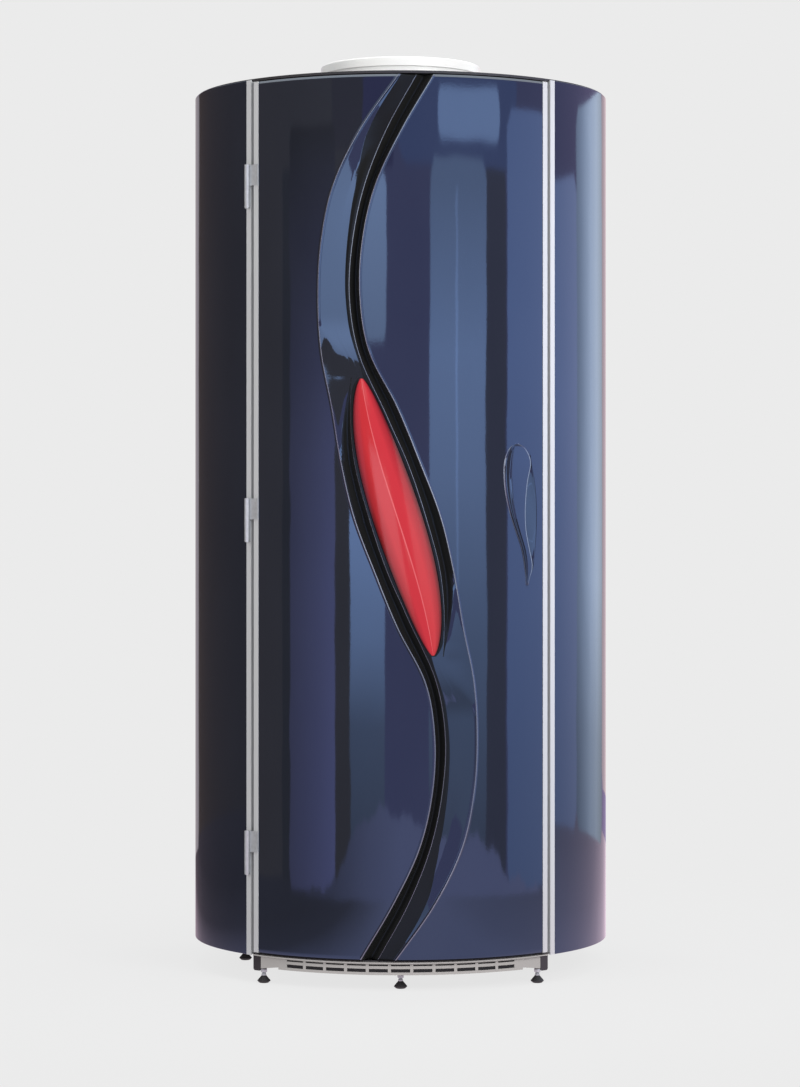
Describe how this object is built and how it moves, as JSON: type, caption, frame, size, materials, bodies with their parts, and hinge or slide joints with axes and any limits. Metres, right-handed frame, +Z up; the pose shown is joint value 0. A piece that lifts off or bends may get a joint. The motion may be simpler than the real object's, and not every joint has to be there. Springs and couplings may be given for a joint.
{
  "type": "tanning booth",
  "caption": "Round stand-up tanning booth with a curved moulded door on hinges, lamps behind guard hoops all round, a slotted plinth on levelling feet and an exhaust fan in the roof.",
  "frame": {"origin": "floor level, on the cabin's vertical axis", "axes": "+Z up, -Y out through the door, +X to the right of someone who faces the door"},
  "size_m": [1.0396, 1.0453, 2.264],
  "materials": {
    "navy_gelcoat": "glossy dark navy gelcoat",
    "navy_enamel": "glossy dark navy enamel",
    "satin_aluminium": "satin anodised",
    "polished_aluminium": "bright rolled reflector sheet",
    "zinc_steel": "zinc plated",
    "black_steel": "black powder coat",
    "warm_grey_enamel": "warm light grey enamel",
    "white_enamel": "white enamel",
    "white_plastic": "white moulded plastic",
    "black_plastic": "black moulded plastic",
    "red_lens": "clear-cast red acrylic",
    "lamp_glass": "frosted lamp glass",
    "lamp_cap": "pressed lamp cap",
    "rubber": "black rubber",
    "iron_core": "lacquered laminations",
    "filter_felt": "black needled felt",
    "green_button": "gloss green"
  },
  "bodies": {
    "cabin": {"base_frame": "black_steel", "floor_tray": "white_plastic", "plinth_grille": "warm_grey_enamel", "plinth_filter": "filter_felt", "plinth_end_blocks": "black_plastic", "post_left": "satin_aluminium", "post_right": "satin_aluminium", "rear_posts": "satin_aluminium", "side_skin_left": "navy_enamel", "side_skin_right": "navy_enamel", "rear_skin": "navy_enamel", "roof_tray": "black_steel", "extraction_collar": "white_enamel", "ceiling_panel": "white_plastic", "fan_shroud": "black_steel", "fan_motor_mount": "zinc_steel", "fan_motor": "zinc_steel", "exhaust_guard": "zinc_steel", "cable_gland": "black_plastic", "reflector_left": "polished_aluminium", "reflector_rear": "polished_aluminium", "reflector_right": "polished_aluminium", "lampholders_cabin": "white_plastic", "lamps_left": "lamp_glass", "lamps_rear": "lamp_glass", "lamps_right": "lamp_glass", "lamp_caps_cabin": "lamp_cap", "guard_hoops_cabin": "satin_aluminium", "ballast_trays": "zinc_steel", "ballasts": "iron_core", "control_pod": "white_plastic", "hinge_leaves_post": "zinc_steel", "hinge_pins": "zinc_steel", "door_magnets": "black_plastic", "jamb_seals": "rubber"},
    "door": {"door_skin": "navy_gelcoat", "door_lens": "red_lens", "door_stile_left": "satin_aluminium", "door_stile_right": "satin_aluminium", "door_caps": "black_steel", "door_reflector": "polished_aluminium", "lampholders_door": "white_plastic", "lamps_door": "lamp_glass", "lamp_caps_door": "lamp_cap", "guard_hoops_door": "satin_aluminium", "hinge_leaves_door": "zinc_steel", "strike_plates": "zinc_steel"},
    "fan": {"fan_impeller": "black_plastic"},
    "button": {"start_button": "green_button"},
    "front_left_foot": {"foot_front_left": "rubber"},
    "front_centre_foot": {"foot_front_centre": "rubber"},
    "front_right_foot": {"foot_front_right": "rubber"},
    "hinge_side_foot": {"foot_hinge_side": "rubber"},
    "rear_left_foot": {"foot_rear_left": "rubber"},
    "rear_right_foot": {"foot_rear_right": "rubber"}
  },
  "joints": [
    {"name": "door_hinge", "type": "hinge", "parent": "cabin", "child": "door", "pos_m": [-0.37125, -0.37516, 1.124], "axis": [0, 0, -1], "range_deg": [0, 110]},
    {"name": "fan_spin", "type": "hinge", "parent": "cabin", "child": "fan", "pos_m": [0, 0, 2.15], "axis": [0, 0, 1], "continuous": true},
    {"name": "start_button_press", "type": "slide", "parent": "cabin", "child": "button", "axis": [0.6871, -0.7266, 0], "range_m": [0, 0.004], "stiffness_N_per_m": 300},
    {"name": "front_left_foot_turn", "type": "hinge", "parent": "cabin", "child": "front_left_foot", "pos_m": [-0.33, -0.37829, 0.045], "axis": [0, 0, 1], "continuous": true},
    {"name": "front_centre_foot_turn", "type": "hinge", "parent": "cabin", "child": "front_centre_foot", "pos_m": [0, -0.468, 0.045], "axis": [0, 0, 1], "continuous": true},
    {"name": "front_right_foot_turn", "type": "hinge", "parent": "cabin", "child": "front_right_foot", "pos_m": [0.33, -0.37829, 0.045], "axis": [0, 0, 1], "continuous": true},
    {"name": "hinge_side_foot_turn", "type": "hinge", "parent": "cabin", "child": "hinge_side_foot", "pos_m": [-0.39364, 0, 0.045], "axis": [0, 0, 1], "continuous": true},
    {"name": "rear_left_foot_turn", "type": "hinge", "parent": "cabin", "child": "rear_left_foot", "pos_m": [-0.3016, 0.3328, 0.045], "axis": [0, 0, 1], "continuous": true},
    {"name": "rear_right_foot_turn", "type": "hinge", "parent": "cabin", "child": "rear_right_foot", "pos_m": [0.3016, 0.3328, 0.045], "axis": [0, 0, 1], "continuous": true}
  ]
}
